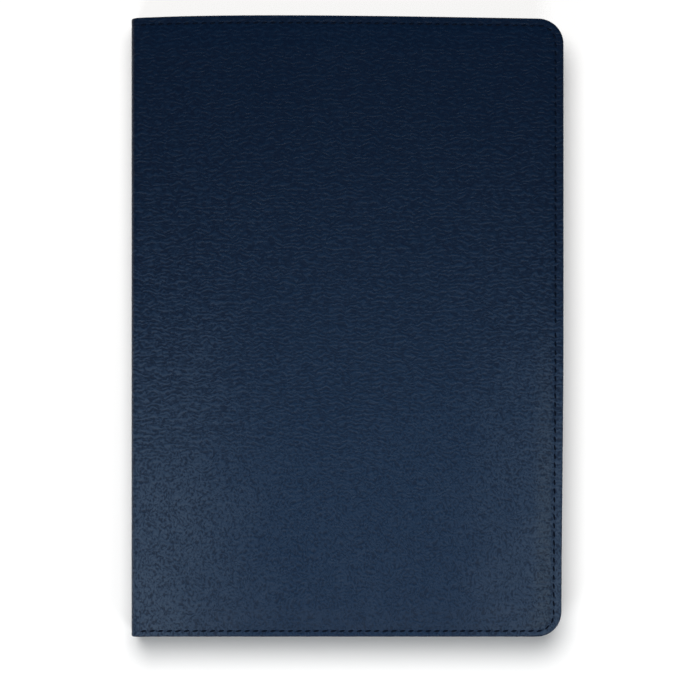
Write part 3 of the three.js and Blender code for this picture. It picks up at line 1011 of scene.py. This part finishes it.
def makeLegHinge():
    # a strip of the same skin, pressed into a shallow groove along the leg's hinge
    low, high = span("leg_crease")
    start = high.x + legHinge["overCover"]
    end = low.x - legHinge["overLeg"]
    lines = legHinge["lines"]
    rows = legHinge["rows"]
    across = [end + (start - end) * i / lines for i in range(lines + 1)]
    bm = makeGrid(across, [low.y + (high.y - low.y) * i / rows for i in range(rows + 1)])
    markFlat(bm)
    for vert in bm.verts:
        share = (vert.co.x - end) / (start - end)
        vert.co.z = legHinge["level"] + legHinge["groove"] * math.sin(math.pi * share) ** 2
    bmesh.ops.reverse_faces(bm, faces=bm.faces)
    piece = finishMesh(bm, "leg_hinge_strip", skinMaterial)
    addWall(piece, legHinge["skin"])
    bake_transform(piece)
    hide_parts("leg_crease")


makeLeg()
makeLegHinge()
print("stand leg")


def makeMoulded(name, dark, light, roughness, grain=2600.0, relief=0.00004, gloss=0.45):
    # moulded plastic or rubber: a fine eroded texture, slight mottling
    shader = Shader(name, dark, roughness, Specular_IOR_Level=gloss)
    place = shader.objectPlace()
    fine = shader.noise(place, grain, 2.0, 0.6)
    cloud = shader.noise(place, 45.0, 4.0)
    shader.colour(shader.blendColours(shader.between(cloud * 0.6 + fine * 0.4, 0.35, 0.65), dark, light))
    shader.roughness(roughness - 0.06 + 0.14 * cloud + 0.05 * fine)
    shader.bump(fine, relief)
    return shader.material


def makeMetal(name, dark, light, roughness, streaks=(300.0, 5200.0, 5200.0), metallic=1.0,
              relief=0.00002):
    shader = Shader(name, light, roughness, Metallic=metallic)
    place = shader.objectPlace()
    brushed = shader.noise(shader.scaled(place, streaks), 1.0, 3.0, 0.6)
    stain = shader.noise(place, 120.0, 3.0)
    mottle = shader.between(stain * 0.5 + brushed * 0.5, 0.3, 0.7)
    shader.colour(shader.blendColours(mottle, dark, light))
    shader.roughness(roughness - 0.05 + 0.2 * brushed)
    shader.bump(brushed, relief)
    return shader.material


def makeBoard():
    # grey recycled board, with flecks and fibres
    shader = Shader("grey_board", (0.2, 0.18, 0.15), 0.92, Specular_IOR_Level=0.2)
    place = shader.objectPlace()
    fibre = shader.noise(shader.scaled(place, (900.0, 2600.0, 2600.0)), 1.0, 4.0, 0.7)
    fleck = shader.between(shader.noise(place, 1500.0, 2.0), 0.62, 0.72)
    base = shader.blendColours(fibre, (0.15, 0.135, 0.11), (0.27, 0.245, 0.21))
    shader.colour(shader.blendColours(fleck, base, (0.06, 0.055, 0.05)))
    shader.roughness(0.86 + 0.1 * fibre)
    shader.bump(fibre, 0.00006)
    return shader.material


def makeFoam():
    shader = Shader("padding_foam", (0.35, 0.35, 0.36), 0.95, Specular_IOR_Level=0.2)
    place = shader.objectPlace()
    cell = shader.between(shader.cells(place, 2200.0), 0.0, 0.35)
    shader.colour(shader.blendColours(cell, (0.12, 0.12, 0.13), (0.42, 0.42, 0.43)))
    shader.roughness(0.9 + 0.08 * cell)
    shader.bump(cell, 0.00015)
    return shader.material


finishes = {
    "leatherette": skinMaterial,
    "microfibre": napMaterial,
    "greyboard": makeBoard(),
    "foam": makeFoam(),
    "holder_plastic": makeMoulded("holder_plastic", (0.009, 0.009, 0.0095), (0.016, 0.016, 0.017), 0.5),
    "keyboard_plastic": makeMoulded("case_plastic", (0.0115, 0.012, 0.0135), (0.019, 0.02, 0.022), 0.46),
    "key_plastic": makeMoulded(
        "key_plastic", (0.0075, 0.0078, 0.0085), (0.012, 0.0124, 0.0135), 0.4, 3600.0
    ),
    "touchpad_plastic": makeMoulded(
        "pad_plastic", (0.016, 0.0168, 0.019), (0.02, 0.021, 0.0235), 0.32, 5200.0, 0.000012
    ),
    "film": makeMoulded("circuit_film", (0.3, 0.3, 0.27), (0.42, 0.41, 0.36), 0.3, 400.0),
    "silicone": makeMoulded("dome_silicone", (0.3, 0.31, 0.32), (0.4, 0.41, 0.42), 0.6, 900.0),
    "circuit_board": makeMoulded("board_mask", (0.008, 0.05, 0.02), (0.014, 0.08, 0.035), 0.35, 700.0),
    "battery_wrap": makeMoulded("battery_wrap", (0.28, 0.29, 0.3), (0.38, 0.39, 0.41), 0.35, 260.0),
    "bare_steel": makeMetal("bright_steel", (0.42, 0.42, 0.43), (0.62, 0.62, 0.61), 0.3),
    "coated_steel": makeMetal("black_coated_steel", (0.012, 0.012, 0.013), (0.02, 0.02, 0.021), 0.44,
                              (1800.0,) * 3, 0.0, 0.00005),
    "magnet": makeMetal("nickel_plating", (0.4, 0.38, 0.35), (0.58, 0.56, 0.52), 0.25, (900.0,) * 3),
    "rubber_pad": makeMoulded(
        "pad_rubber", (0.006, 0.006, 0.0065), (0.011, 0.011, 0.012), 0.78, 1500.0, 0.00008, 0.25
    ),
    "clear_lens": makeMoulded("frosted_lens", (0.5, 0.52, 0.54), (0.6, 0.62, 0.64), 0.22, 900.0),
}
for node in frame["nodes"].values():
    node["finish"] = node.material_slots[0].material.name
    node.material_slots[0].material = finishes[node["finish"]]


def standFor(piece, name):
    # the piece takes over a CAD solid's body, and the solid is hidden
    node = frame["nodes"][name]
    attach(piece, node["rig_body"])
    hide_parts(name)


softEdges = {
    # radius of the eased edges, in millimetres
    "holder_base": 0.35, "sliding_jaw": 0.25, "keyboard_base": 0.45, "keyboard_deck": 0.22,
    "hook_pad_1": 0.2, "hook_pad_2": 0.2, "claw_pad_1": 0.2, "claw_pad_2": 0.2,
    "holder_rivet_1": 0.3, "holder_rivet_2": 0.3, "holder_rivet_3": 0.3, "holder_rivet_4": 0.3,
    "bumper_1": 0.5, "bumper_2": 0.5, "bumper_3": 0.5, "bumper_4": 0.5,
    "usb_socket": 0.12, "power_switch": 0.25, "pairing_button": 0.25, "led_lens": 0.2,
}


softening = {"weld": 0.002 * mm, "sharp": 35, "flatArea": 300 * mm * mm, "segments": 2}


def softenNode(name, width):
    # a welded copy of the CAD solid with its edges eased
    bm = bmesh.new()
    bm.from_mesh(frame["nodes"][name].data)
    bmesh.ops.remove_doubles(bm, verts=bm.verts, dist=softening["weld"])
    bmesh.ops.dissolve_limit(bm, angle_limit=math.radians(1), verts=bm.verts, edges=bm.edges)
    finish = finishes[frame["nodes"][name]["finish"]]
    piece = finishMesh(bm, name + "_finished", finish, softening["sharp"])
    for face in piece.data.polygons:
        face.use_smooth = face.area < softening["flatArea"]
    edge = piece.modifiers.new("edge", "BEVEL")
    edge.width = width * mm
    edge.segments = softening["segments"]
    edge.limit_method = "ANGLE"
    edge.angle_limit = math.radians(softening["sharp"])
    edge.harden_normals = True
    standFor(piece, name)


for name, width in softEdges.items():
    softenNode(name, width)
print("mouldings")


keyUnit = 17.2 * mm
keyGap = 2.2 * mm
keyCap = {"corner": 1.7 * mm, "edge": 0.32 * mm, "taper": 0.45 * mm, "dish": 0.14 * mm, "sharp": 38}
legend = {"letter": 5.0 * mm, "word": 2.9 * mm, "thick": 0.012 * mm}
firstKey = span("number_keys")[1].y + keyGap / 2

keyRows = [
    ("function_keys", 0, [1] * 14, "esc F1 F2 F3 F4 F5 F6 F7 F8 F9 F10 F11 F12 del"),
    ("number_keys", 0, [1] * 14, "` 1 2 3 4 5 6 7 8 9 0 - = back"),
    ("upper_letter_keys", 0, [1.25] + [1] * 12 + [0.75], "tab Q W E R T Y U I O P [ ] /"),
    ("home_keys", 0, [1.5] + [1] * 11 + [1.5], "caps A S D F G H J K L ; ' enter"),
    ("lower_letter_keys", 0, [2] + [1] * 12, "shift Z X C V B N M , . / up shift"),
    ("left_modifier_keys", 0, [1] * 4, "ctrl fn opt alt"),
    ("space_bar", 4, [5], "blank"),
    ("right_modifier_keys", 9, [1] * 5, "alt ctrl left down right"),
]
arrowTurns = {"up": 90, "left": 180, "down": 270, "right": 0}


def legendMesh(text, small):
    # flat lettering or an arrow head, lying in its own plane
    if text in arrowTurns:
        bm = bmesh.new()
        turn = Matrix.Rotation(math.radians(arrowTurns[text]), 4, "Z")
        bmesh.ops.create_cone(
            bm, cap_ends=True, segments=3, radius1=1.2 * mm, radius2=1.2 * mm, depth=legend["thick"] * 2,
            matrix=turn,
        )
        mesh = bpy.data.meshes.new("legend")
        bm.to_mesh(mesh)
        bm.free()
        return mesh
    curve = bpy.data.curves.new("legend", "FONT")
    curve.body = text
    curve.size = legend["word"] if small or len(text) > 1 else legend["letter"]
    curve.align_x = "CENTER"
    curve.align_y = "CENTER"
    curve.resolution_u = 3
    curve.extrude = legend["thick"]
    lettering = bpy.data.objects.new("legend", curve)
    mesh = bpy.data.meshes.new_from_object(lettering)
    bpy.data.objects.remove(lettering)
    return mesh


def makeKeyRow(name, start, widths, legends):
    low, high = span(name)
    caps = bmesh.new()
    marks = bmesh.new()
    at = start
    words = legends.split()
    for width, word in zip(widths, words):
        right = firstKey - (at + width) * keyUnit + keyGap / 2
        left = firstKey - at * keyUnit - keyGap / 2
        at += width
        roundedBlock(
            caps, Vector((low.x, right, low.z)), Vector((high.x, left, high.z)),
            keyCap["corner"], keyCap["edge"], 4, 2, keyCap["taper"], keyCap["dish"],
        )
        if word != "blank":
            mesh = legendMesh(word, high.x - low.x < 10 * mm)
            # read from the spine's side: along -Y, upwards to -X, facing down while the case is shut
            axes = Matrix(((0, -1, 0, 0), (-1, 0, 0, 0), (0, 0, -1, 0), (0, 0, 0, 1)))
            centre = ((low.x + high.x) / 2, (left + right) / 2, low.z + keyCap["dish"])
            mesh.transform(Matrix.Translation(centre) @ axes)
            marks.from_mesh(mesh)
            bpy.data.meshes.remove(mesh)
    piece = finishMesh(caps, name + "_caps", finishes["key_plastic"], keyCap["sharp"])
    standFor(piece, name)
    if len(marks.verts):
        printed = finishMesh(marks, name + "_legends", legendMaterial)
        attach(printed, frame["nodes"][name]["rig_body"])
    else:
        marks.free()


def makePlate(name, corner, edge, dish=0.0):
    low, high = span(name)
    bm = bmesh.new()
    roundedBlock(bm, low, high, corner * mm, edge * mm, 5, 2, 0.0, dish * mm)
    finish = finishes[frame["nodes"][name]["finish"]]
    standFor(finishMesh(bm, name + "_plate", finish, keyCap["sharp"]), name)


legendMaterial = makeMoulded("legend_ink", (0.5, 0.52, 0.55), (0.62, 0.64, 0.67), 0.5, 2000.0)
for row in keyRows:
    makeKeyRow(*row)
makePlate("touchpad", 1.2, 0.25)
makePlate("left_click_button", 1.2, 0.35, 0.12)
makePlate("right_click_button", 1.2, 0.35, 0.12)
print("keys")


spring = {"wire": 0.12 * mm, "pitch": 0.62 * mm, "sides": 6, "steps": 12}


def makeSpring(name):
    low, high = span(name)
    centre = (low + high) / 2
    coil = (high.z - low.z) / 2 - spring["wire"]
    turns = int((high.x - low.x - 2 * spring["wire"]) / spring["pitch"])
    steps = spring["steps"]
    bm = bmesh.new()
    start = Vector((low.x + spring["wire"], centre.y, centre.z + coil))
    place = Matrix.Translation(start)
    ring = bmesh.ops.create_circle(bm, segments=spring["sides"], radius=spring["wire"], matrix=place)
    edges = {e for v in ring["verts"] for e in v.link_edges}
    bmesh.ops.spin(
        bm, geom=ring["verts"] + list(edges), cent=start - Vector((0, 0, coil)), axis=(1, 0, 0),
        dvec=(spring["pitch"] / steps, 0, 0), angle=2 * math.pi * turns, steps=steps * turns,
        use_merge=False,
    )
    bmesh.ops.holes_fill(bm, edges=[e for e in bm.edges if e.is_boundary], sides=0)
    bmesh.ops.recalc_face_normals(bm, faces=bm.faces)
    piece = finishMesh(bm, name + "_coil", finishes["bare_steel"], 60)
    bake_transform(piece)
    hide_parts(name)


makeSpring("jaw_spring_1")
makeSpring("jaw_spring_2")
print("springs")

setStudio()
print("studio")
